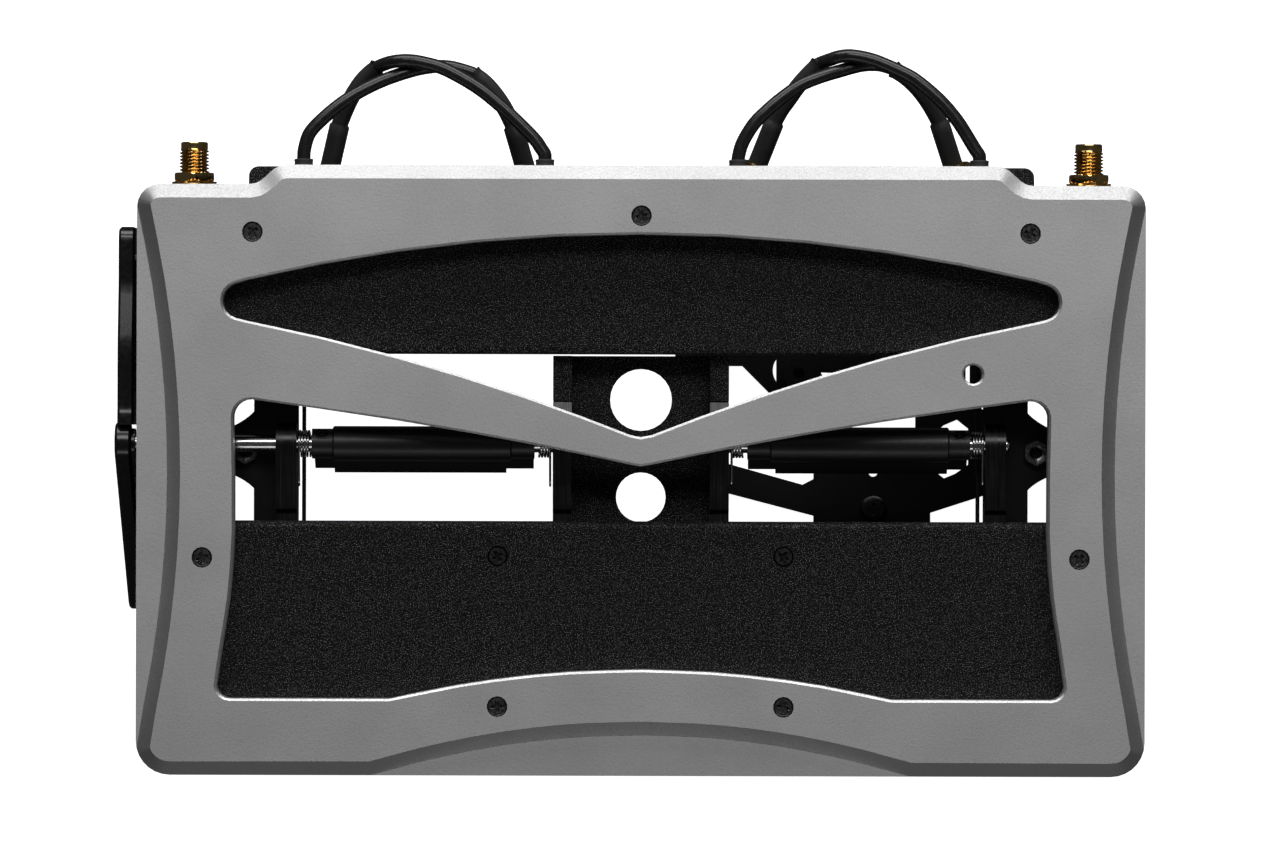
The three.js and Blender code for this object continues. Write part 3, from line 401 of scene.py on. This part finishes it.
def surface(name, metallic=0.0, specular=0.5, coat=0.0, coat_roughness=0.1):
    """A node material with a Principled shader, and its tree."""
    material = bpy.data.materials.new(name)
    material.use_nodes = True
    tree = material.node_tree
    shader = next(node for node in tree.nodes if node.type == "BSDF_PRINCIPLED")
    shader.inputs["Metallic"].default_value = metallic
    shader.inputs["Specular IOR Level"].default_value = specular
    shader.inputs["Coat Weight"].default_value = coat
    shader.inputs["Coat Roughness"].default_value = coat_roughness
    return material, tree, shader


def blasted_aluminium():
    material, tree, shader = surface("blasted_aluminium", metallic=1)
    grain = noise(tree, 2600, 3)
    cloud = noise(tree, 60, 2)
    both = combine(tree, spread(tree, grain, 0, 0.8, 0.25, 0.75), spread(tree, cloud, 0, 0.2), "ADD")
    tree.links.new(ramp(tree, both, [(0, 0.5), (0.5, 0.67), (1, 0.84)]), shader.inputs["Base Color"])
    tree.links.new(spread(tree, grain, 0.56, 0.42), shader.inputs["Roughness"])
    bump(tree, shader, grain, 0.00003, 0.6)
    return material


def powder_coat():
    """Black textured coating with many fine bright flakes in it. The bright flecks in the base colour are
    partly the coating's real flakes and partly painted glints that stand in for its sparkle.
    """
    material, tree, shader = surface("powder_coat", specular=0.12)
    texture = noise(tree, 1700, 3)
    flakes_and_painted_glints = noise(tree, 5000, 1)
    # Painted glints: the bright flecks put into the base colour stand in for the coating's sparkle, on top of
    # its real flakes.
    tree.links.new(ramp(tree, flakes_and_painted_glints, [(0.0, 0.001), (0.55, 0.002), (0.62, 0.03), (0.72, 0.3)]),
                   shader.inputs["Base Color"])
    tree.links.new(spread(tree, flakes_and_painted_glints, 0.6, 0.3, 0.45, 0.72), shader.inputs["Roughness"])
    bump(tree, shader, texture, 0.0001, 0.6)
    return material


def machined_black(name, stretch, base, rough):
    """Black anodised metal with fine tool lines along one axis."""
    material, tree, shader = surface(name, specular=0.45)
    lines = noise(tree, 1, 3, stretch)
    haze = noise(tree, 260, 3)
    tree.links.new(ramp(tree, lines, [(0.3, base * 0.6), (0.55, base), (0.72, base * 3.2)]),
                   shader.inputs["Base Color"])
    roughness = combine(
        tree, spread(tree, lines, rough - 0.08, rough + 0.1), spread(tree, haze, -0.05, 0.05), "ADD")
    tree.links.new(roughness, shader.inputs["Roughness"])
    bump(tree, shader, lines, 0.00002, 0.7)
    return material


def milled_black():
    """Black anodised metal with the faint arcs that a face mill leaves."""
    material, tree, shader = surface("milled_black", specular=0.35)
    place = tree.nodes.new("ShaderNodeTexCoord")
    mapping = tree.nodes.new("ShaderNodeMapping")
    mapping.inputs["Location"].default_value = (0, 0.03, 0)
    tree.links.new(place.outputs["Object"], mapping.inputs["Vector"])
    arcs = tree.nodes.new("ShaderNodeTexWave")
    arcs.wave_type = "RINGS"
    arcs.rings_direction = "Z"
    arcs.inputs["Scale"].default_value = 900
    arcs.inputs["Distortion"].default_value = 3
    arcs.inputs["Detail"].default_value = 2
    tree.links.new(mapping.outputs["Vector"], arcs.inputs["Vector"])
    patches = noise(tree, 140, 3)
    marks = combine(tree, arcs.outputs["Fac"], spread(tree, patches, 0.1, 1))
    tree.links.new(ramp(tree, marks, [(0.0, 0.003), (0.6, 0.005), (1.0, 0.016)]), shader.inputs["Base Color"])
    tree.links.new(spread(tree, marks, 0.3, 0.42, 0, 1), shader.inputs["Roughness"])
    bump(tree, shader, marks, 0.000015, 0.6)
    return material


def satin_black(name, base, roughness, grain_scale, depth, specular=0.5, coat=0.0):
    """Plain black with the fine unevenness of its own finish."""
    material, tree, shader = surface(name, specular=specular, coat=coat, coat_roughness=0.12)
    grain = noise(tree, grain_scale, 3)
    cloud = noise(tree, 90, 2)
    tree.links.new(ramp(tree, combine(tree, grain, cloud, "ADD"), [(0.3, base * 0.7), (1.0, base * 1.6)]),
                   shader.inputs["Base Color"])
    tree.links.new(spread(tree, grain, roughness - 0.05, roughness + 0.07), shader.inputs["Roughness"])
    bump(tree, shader, grain, depth, 0.6)
    return material


def bright_metal(name, dark, light, roughness, stretch=(1, 1, 1), scale=1400, depth=0.000008):
    """Plated or ground metal with fine drawn lines and a little colour change."""
    material, tree, shader = surface(name, metallic=1)
    lines = noise(tree, scale, 3, stretch)
    cloud = noise(tree, 420, 2)
    tree.links.new(ramp(tree, combine(tree, lines, cloud, "ADD"), [(0.55, dark), (1.25, light)]),
                   shader.inputs["Base Color"])
    tree.links.new(spread(tree, lines, roughness * 0.75, roughness * 1.4), shader.inputs["Roughness"])
    bump(tree, shader, lines, depth, 0.5)
    return material


def board_green():
    """Green solder mask with lighter copper tracks under it."""
    material, tree, shader = surface("solder_mask", specular=0.5, coat=0.3)
    place = tree.nodes.new("ShaderNodeTexCoord")
    cells = tree.nodes.new("ShaderNodeTexVoronoi")
    cells.feature = "DISTANCE_TO_EDGE"
    cells.inputs["Scale"].default_value = 260
    tree.links.new(place.outputs["Object"], cells.inputs["Vector"])
    tracks = ramp(tree, cells.outputs["Distance"], [(0.02, (0.03, 0.2, 0.08)), (0.08, (0.01, 0.09, 0.035))])
    tree.links.new(tracks, shader.inputs["Base Color"])
    tree.links.new(spread(tree, noise(tree, 500), 0.3, 0.5), shader.inputs["Roughness"])
    bump(tree, shader, cells.outputs["Distance"], 0.00003, 0.4)
    return material


FINISH = {
    "top_panel": blasted_aluminium(),
    "powder_coat": powder_coat(),
    "black_machined": machined_black("machined_arm", (4200, 90, 90), 0.004, 0.3),
    "connector_black": satin_black("moulded_black", 0.02, 0.42, 1800, 0.00002),
    "gloss_black": satin_black("gloss_black", 0.003, 0.24, 900, 0.000006, specular=0.45, coat=0.3),
    "polished_steel": bright_metal(
        "polished_steel", (0.5, 0.5, 0.51), (0.78, 0.78, 0.78), 0.16, (0.04, 1, 1), 2400),
    "gold_plate": bright_metal("gold_plate", (0.42, 0.24, 0.08), (0.88, 0.62, 0.26), 0.11, scale=900),
    "dark_screw": bright_metal("dark_screw", (0.05, 0.05, 0.052), (0.16, 0.16, 0.162), 0.28, scale=1600),
    "cable_jacket": satin_black("cable_jacket", 0.008, 0.24, 900, 0.000002),
    "heat_shrink": satin_black("heat_shrink", 0.018, 0.48, 1200, 0.00003, specular=0.4),
    "grommet_rubber": satin_black("grommet_rubber", 0.022, 0.66, 2000, 0.00003),
    "circuit_board": board_green(),
}
RAIL_FINISH = milled_black()
PLATE_FINISH = satin_black("satin_plate", 0.004, 0.4, 1700, 0.00002, specular=0.4)
SLEEVE_FINISH = satin_black("satin_sleeve", 0.008, 0.36, 2200, 0.000008, specular=0.45)
COVER_SCREW_FINISH = bright_metal("black_screw", (0.02, 0.02, 0.021), (0.06, 0.06, 0.062), 0.34, scale=1600)
INSULATOR_FINISH = satin_black("insulator_white", 0.6, 0.5, 1500, 0.00001)


def dress(piece, slot_name, material=None):
    """Gives a new piece its finish and its slot."""
    piece.data.materials.clear()
    piece.data.materials.append(material or FINISH[slot_name])
    return piece


for cord, shrink, body, white, nut, collar in jumper_pieces.values():
    dress(cord, "cable_jacket")
    dress(collar, "grommet_rubber")
    dress(shrink, "heat_shrink")
    dress(body, "gold_plate")
    dress(white, "grommet_rubber", INSULATOR_FINISH)
    dress(nut, "gold_plate")


# CAD nodes that stay: better materials, softened edges and smooth curves
def geometry_group(name):
    group = bpy.data.node_groups.new(name, "GeometryNodeTree")
    group.interface.new_socket("Geometry", in_out="INPUT", socket_type="NodeSocketGeometry")
    group.interface.new_socket("Geometry", in_out="OUTPUT", socket_type="NodeSocketGeometry")
    return group, group.nodes.new("NodeGroupInput"), group.nodes.new("NodeGroupOutput")


def clean_group():
    """Joins split corners and shades the whole skin smooth."""
    group, start, end = geometry_group("clean_skin")
    bare = group.nodes.new("GeometryNodeRemoveAttribute")
    bare.inputs["Name"].default_value = "custom_normal"
    merged = group.nodes.new("GeometryNodeMergeByDistance")
    merged.inputs["Distance"].default_value = 1e-6
    smooth = group.nodes.new("GeometryNodeSetShadeSmooth")
    group.links.new(start.outputs[0], bare.inputs["Geometry"])
    group.links.new(bare.outputs["Geometry"], merged.inputs["Geometry"])
    group.links.new(merged.outputs["Geometry"], smooth.inputs["Geometry"])
    group.links.new(smooth.outputs["Geometry"], end.inputs[0])
    return group


def crease_group(degrees):
    """Marks edges sharper than an angle."""
    group, start, end = geometry_group("crease")
    angle = group.nodes.new("GeometryNodeInputMeshEdgeAngle")
    above = group.nodes.new("FunctionNodeCompare")
    above.operation = "GREATER_THAN"
    above.inputs[1].default_value = math.radians(degrees)
    sharp = group.nodes.new("GeometryNodeSetShadeSmooth")
    sharp.domain = "EDGE"
    sharp.inputs["Shade Smooth"].default_value = False
    group.links.new(angle.outputs["Unsigned Angle"], above.inputs[0])
    group.links.new(above.outputs["Result"], sharp.inputs["Selection"])
    group.links.new(start.outputs[0], sharp.inputs["Geometry"])
    group.links.new(sharp.outputs["Geometry"], end.inputs[0])
    return group


CLEAN = clean_group()
CREASE = crease_group(32)


def soften(node, width, segments=2):
    """Breaks the sharp edges of a CAD node, by a width in millimetres."""
    obj = frame["nodes"][node]
    obj.modifiers.new("clean", "NODES").node_group = CLEAN
    flat = obj.modifiers.new("flat", "DECIMATE")
    flat.decimate_type = "DISSOLVE"
    flat.angle_limit = math.radians(0.5)
    edge = obj.modifiers.new("edge", "BEVEL")
    edge.width = width * MM
    edge.segments = segments
    edge.limit_method = "ANGLE"
    edge.angle_limit = math.radians(32)
    obj.modifiers.new("crease", "NODES").node_group = CREASE
    weigh = obj.modifiers.new("weigh", "WEIGHTED_NORMAL")
    weigh.keep_sharp = True


SLOTS = {part["node"]: part["material_slot"] for part in frame["record"]["subparts"]}
NODE_FINISH = {
    "left_rail": RAIL_FINISH, "right_rail": RAIL_FINISH,
    "left_latch_bar": SLEEVE_FINISH, "right_latch_bar": SLEEVE_FINISH, "dock_plate": PLATE_FINISH,
}
EDGE_BREAK = {
    "top_panel": 0.12, "front_cover": 0.12, "rear_cover": 0.12, "front_tray": 0.3, "rear_box": 0.3,
    "centre_bracket": 0.15, "dock_plate": 0.2, "left_side_channel": 0.25, "right_side_channel": 0.25,
    "left_rail": 0.15, "right_rail": 0.15, "left_inner_arm": 0.2, "right_inner_arm": 0.2,
    "left_outer_arm": 0.2, "right_outer_arm": 0.2, "left_latch_bar": 0.12, "right_latch_bar": 0.12,
    "cross_shaft": 0.05, "release_lever": 0.15, "lever_guard": 0.2, "left_slot_connector": 0.15,
    "right_slot_connector": 0.15, "main_board": 0.1, "antenna_board": 0.1,
}
for node, obj in frame["nodes"].items():
    obj.data.materials.clear()
    obj.data.materials.append(NODE_FINISH.get(node) or FINISH[SLOTS[node]])
for node, width in EDGE_BREAK.items():
    soften(node, width)


# Screws
def screw(name, node, turn, recess, material):
    """A flat-head screw with a cross recess, turned by some degrees, in place of its CAD node."""
    low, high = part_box(node)
    where = standing_at(node) @ Matrix.Rotation(math.radians(turn), 4, "Z")
    tip, top = low.z / MM, high.z / MM
    head_radius, shank_radius = 1.85, 1.25
    arm, width = recess
    rings = turned([
        (shank_radius * 0.7, tip), (shank_radius, tip + 0.3), (shank_radius, top - 1.5),
        (head_radius, top - 0.45), (head_radius, top - 0.12), (head_radius - 0.12, top)], 96, where)
    rings += [
        ring(cross(arm + 0.12, width + 0.1), top, 96, where),
        ring(cross(arm, width), top - 0.12, 96, where),
        ring(cross(arm * 0.7, width * 0.8), top - 0.9, 96, where),
    ]
    piece = skin(name, [(rings, "capped")], 30)
    dress(piece, "dark_screw", material)
    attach(piece, "housing")
    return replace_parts(piece, node)


for i, turn in enumerate((38, 12, 67, 21, 50, 3, 75), 1):
    screw(f"panel_screw_{i}_detailed", f"panel_screw_{i}", turn, (1.15, 0.27), FINISH["dark_screw"])
for i, turn in enumerate((30, 58), 1):
    screw(f"box_screw_{i}_detailed", f"box_screw_{i}", turn, (1.1, 0.25), COVER_SCREW_FINISH)


def dock_screw():
    """A round low head with a cross recess."""
    where = standing_at("dock_screw")
    rings = turned([
        (1.0, 0.2), (1.25, 0.5), (1.25, 1.8), (2.8, 1.8), (2.85, 1.95), (2.8, 2.15), (2.5, 2.4), (2.0, 2.5)],
        96, where)
    rings += [ring(cross(1.3, 0.32), 2.48, 96, where), ring(cross(0.9, 0.25), 1.95, 96, where)]
    piece = skin("dock_screw_detailed", [(rings, "capped")], 30)
    dress(piece, "dark_screw", COVER_SCREW_FINISH)
    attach(piece, "housing")
    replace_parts(piece, "dock_screw")


dock_screw()


# Antenna jacks
def thread_radius(height, crest, depth, pitch):
    """The radius of a screw thread at a height, as a function of the angle."""
    def size(angle):
        turn = (height / pitch - angle / (2 * math.pi)) % 1
        return crest - depth * min(1, max(0, 1.25 * (1 - abs(2 * turn - 1)) - 0.1))
    return size


def antenna_jack(hand):
    """A threaded barrel with a shoulder behind the wall, a white insulator and a centre contact."""
    low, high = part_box(f"{hand}_antenna_jack")
    where = facing_front(box_centre(f"{hand}_antenna_jack"))
    tip, back = high.y / MM, low.y / MM
    wall = tip - 11
    count = 64
    rings = turned([
        (2.4, back), (2.4, wall - 5), (4.3, wall - 4.9), (4.4, wall - 4.7), (4.4, wall - 0.3),
        (3.05, wall - 0.3)], count, where)
    height = wall
    while height < tip - 1.45:
        fade = min(1, (tip - 1.45 - height) / 0.5)
        crest = 3.175 - 0.35 * (1 - fade)
        thread = thread_radius(height, crest, 0.62 * fade, ANTENNA_THREAD_PITCH)
        rings.append(ring(thread, height, count, where))
        height += ANTENNA_THREAD_PITCH / 10
    rings += turned([
        (2.82, tip - 1.4), (2.82, tip - 0.25), (2.62, tip), (2.35, tip), (2.3, tip - 0.15), (2.3, tip - 4.2),
        (2.05, tip - 4.3)], count, where)
    contact = turned([
        (0.9, tip - 4.4), (0.9, tip - 2.3), (0.75, tip - 2.15), (0.5, tip - 2.15), (0.5, tip - 3.9),
        (0.1, tip - 4)], 24, where)
    jack = skin(f"{hand}_antenna_jack_threaded", [(rings, "capped"), (contact, "capped")], 32)
    core = skin(f"{hand}_jack_insulator", [(turned([
        (0.95, tip - 4.5), (2.25, tip - 4.5), (2.25, tip - 2.5), (0.95, tip - 2.5)], 32, where), "loop")], 40)
    dress(jack, "gold_plate")
    dress(core, "gold_plate", INSULATOR_FINISH)
    for piece in (jack, core):
        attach(piece, "housing")
    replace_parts(jack, f"{hand}_antenna_jack")


def star(count, root, tip):
    """The radius of a toothed washer."""
    def size(angle):
        turn = (angle * count / (2 * math.pi)) % 1
        return tip if turn < 0.62 else root
    return size


def jack_nut(hand):
    """Flat washer, toothed lock washer with its teeth twisted, and a chamfered nut with a corner up."""
    low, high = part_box(f"{hand}_jack_nut")
    where = facing_front(box_centre(f"{hand}_antenna_jack")) @ Matrix.Rotation(math.pi / 2, 4, "Z")
    base = low.y / MM
    count = 96
    washer = turned([
        (3.4, base), (5.05, base), (5.15, base + 0.08), (5.15, base + 0.2), (5.08, base + 0.28),
        (3.4, base + 0.28)], count, where)
    teeth = [ring(3.4, base + 0.3, count, where), ring(star(12, 3.9, 4.55), base + 0.3, count, where),
             ring(star(12, 3.9, 4.75), base + 0.72, count, where), ring(3.9, base + 0.74, count, where),
             ring(3.4, base + 0.74, count, where)]
    seat = [ring(3.4, base + 0.55, count, where), ring(3.95, base + 0.55, count, where),
            ring(4.0, base + 0.95, count, where), ring(3.4, base + 0.95, count, where)]
    bottom, top = base + 0.9, high.y / MM
    nut = [ring(3.4, bottom, count, where), ring(4.0, bottom, count, where)]
    nut += [ring(hexagonal(8, limit), height, count, where) for limit, height in [
        (4.05, bottom), (4.3, bottom + 0.12), (4.62, bottom + 0.3), (4.62, top - 0.36), (4.3, top - 0.12),
        (3.95, top)]]
    nut += [ring(3.5, top, count, where), ring(3.3, top - 0.2, count, where)]
    stack = [(part, "loop") for part in (washer, teeth, seat, nut)]
    piece = skin(f"{hand}_jack_nut_detailed", stack, 25)
    dress(piece, "gold_plate")
    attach(piece, "housing")
    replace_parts(piece, f"{hand}_jack_nut")


for hand in ("left", "right"):
    antenna_jack(hand)
    jack_nut(hand)


# Rail nuts
def rail_nut(hand):
    """A hexagon nut with a threaded bore, a corner towards +Y."""
    low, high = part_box(f"{hand}_rail_nut")
    where = standing_at(f"{hand}_rail_nut") @ Matrix.Rotation(math.pi / 2, 4, "Z")
    bottom, top = low.z / MM, high.z / MM
    count = 96
    rings = [ring(1.3, bottom, count, where), ring(2.25, bottom, count, where)]
    rings += [ring(hexagonal(4.7, limit), height, count, where) for limit, height in [
        (2.45, bottom), (2.72, bottom + 0.2), (2.72, top - 0.12), (2.55, top)]]
    rings.append(ring(1.5, top, count, where))
    height = top - 0.15
    while height > bottom + 0.15:
        rings.append(ring(thread_radius(height, 1.32, 0.16, 0.45), height, count, where))
        height -= 0.45 / 6
    piece = skin(f"{hand}_rail_nut_detailed", [(rings, "loop")], 25)
    dress(piece, "dark_screw")
    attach(piece, "housing")
    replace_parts(piece, f"{hand}_rail_nut")


for hand in ("left", "right"):
    rail_nut(hand)


# Torsion springs of round wire, wound on the shaft, with a leg back along the arm
SHAFT_Y, SHAFT_Z = 5.4, 34
SPRING_STARTS = {"inner": (18.75, 18.2), "outer": (68.35, 71.1)}


def torsion_spring(side, hand, which):
    start, leg_at = SPRING_STARTS[which]
    length, radius, turns, steps = 2.3, 2.6, 3.75, 28
    near, far = (start + length, start) if leg_at < start else (start, start + length)
    path = []
    first = math.pi / 2 - 2 * math.pi * 0.75
    total = round(turns * steps)
    for i in range(total + 1):
        angle = first + 2 * math.pi * i / steps
        x = near + (far - near) * i / total
        path.append(at(side * x, SHAFT_Y + radius * math.cos(angle), SHAFT_Z + radius * math.sin(angle)))
    top = SHAFT_Z + radius
    for back, drop in ((1.0, 0.03), (2.2, 0.25), (4, 0.55), (6, 0.9), (7.8, 1.3), (8.4, 1.6), (8.6, 2.2)):
        path.append(at(side * far, SHAFT_Y - back, top - drop))
    piece = wire(f"{hand}_{which}_spring_wire", path, 0.25 * MM, 4)
    dress(piece, "polished_steel")
    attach(piece, "housing")
    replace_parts(piece, f"{hand}_{which}_spring")


for side, hand in ((-1, "left"), (1, "right")):
    for which in SPRING_STARTS:
        torsion_spring(side, hand, which)


# Set screws of the latch bars, with a hexagon socket, sunk in their holes
for side, hand in ((-1, "left"), (1, "right")):
    outward = Vector((0, math.sin(math.pi / 4), math.cos(math.pi / 4)))
    where = frame_at(at(side * 65.9, SHAFT_Y, SHAFT_Z), outward)
    rings = turned([(1.0, 2.1), (1.22, 2.2), (1.22, 2.75), (1.05, 2.9), (0.85, 2.9)], 48, where)
    rings += [ring(hexagonal(1.3, 1), 2.86, 48, where), ring(hexagonal(1.2, 1), 2.2, 48, where)]
    grub = skin(f"{hand}_set_screw", [(rings, "capped")], 30)
    dress(grub, "dark_screw")
    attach(grub, "latch")


# Contacts and jack screws of the slot connectors
for side, hand in ((-1, "left"), (1, "right")):
    centre = box_centre(f"{hand}_slot_connector")
    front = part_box(f"{hand}_slot_connector")[1].y / MM
    contacts = []
    for row, columns in ((1.4, 13), (-1.4, 12)):
        for i in range(columns):
            where = facing_front(centre + Vector(((i - (columns - 1) / 2) * 2.76 * MM, 0, row * MM)))
            contact = turned([
                (0.5, front - 3.6), (0.5, front - 1.3), (0.3, front - 1.0), (0.05, front - 0.95)], 12, where)
            contacts.append((contact, "capped"))
    pins = skin(f"{hand}_connector_contacts", contacts, 40)
    dress(pins, "gold_plate")
    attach(pins, "housing")
    for which, x in (("inner", -23.5), ("outer", 23.5)):
        where = facing_front(centre + Vector((side * x * MM, 0, 0)))
        base = front - 5.4
        rings = [ring(1.3, base - 1.5, 48, where), ring(1.3, base, 48, where)]
        rings += [ring(hexagonal(4.6, limit), height, 48, where) for limit, height in [
            (2.35, base), (2.65, base + 0.2), (2.65, base + 3.6), (2.35, base + 3.9)]]
        rings += [ring(1.25, base + 3.9, 48, where), ring(1.1, base + 1, 48, where)]
        post = skin(f"{hand}_{which}_jack_post", [(rings, "capped")], 28)
        dress(post, "dark_screw")
        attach(post, "housing")


# Floor, lights and surroundings
def self_lit_floor():
    """A pale floor plate that lights itself, so that it stays even and white."""
    half = 1.6
    mesh = bpy.data.meshes.new("floor")
    corners = [(-half, -half, 0), (half, -half, 0), (half, half, 0), (-half, half, 0)]
    mesh.from_pydata(corners, [], [(0, 1, 2, 3)])
    floor = link("floor", mesh)
    floor.location.z = -0.0004
    floor.visible_glossy = False
    floor.visible_diffuse = False
    material, tree, shader = surface("pale_floor", specular=0.1)
    tree.links.new(ramp(tree, noise(tree, 30), [(0.3, 0.84), (0.7, 0.88)]), shader.inputs["Base Color"])
    shader.inputs["Roughness"].default_value = 0.8
    shader.inputs["Emission Color"].default_value = (1, 1, 1, 1)
    shader.inputs["Emission Strength"].default_value = 1.0
    mesh.materials.append(material)


def area_light(name, place, target, width, height, radiance):
    """A soft box of a given brightness."""
    data = bpy.data.lights.new(name, "AREA")
    data.shape = "RECTANGLE"
    data.size = width
    data.size_y = height
    data.energy = radiance * math.pi * width * height
    light = link(name, data)
    light.location = place
    light.rotation_euler = (Vector(target) - Vector(place)).to_track_quat("-Z", "Y").to_euler()


self_lit_floor()
area_light("main_box", (0.1, 1.1, 1.75), (0, 0.02, 0), 1.8, 0.6, 4.2)
area_light("front_box", (0, 1.0, 0.35), (0, 0, 0.05), 1.6, 0.5, 4.0)
area_light("rear_box", (0, -1.2, 1.0), (0, 0, 0), 1.4, 0.4, 1.2)

world = bpy.data.worlds.new("studio")
world.use_nodes = True
world.node_tree.nodes["Background"].inputs["Color"].default_value = (1, 1, 1, 1)
world.node_tree.nodes["Background"].inputs["Strength"].default_value = 0.04
bpy.context.scene.world = world
bpy.context.scene.view_settings.view_transform = "Standard"
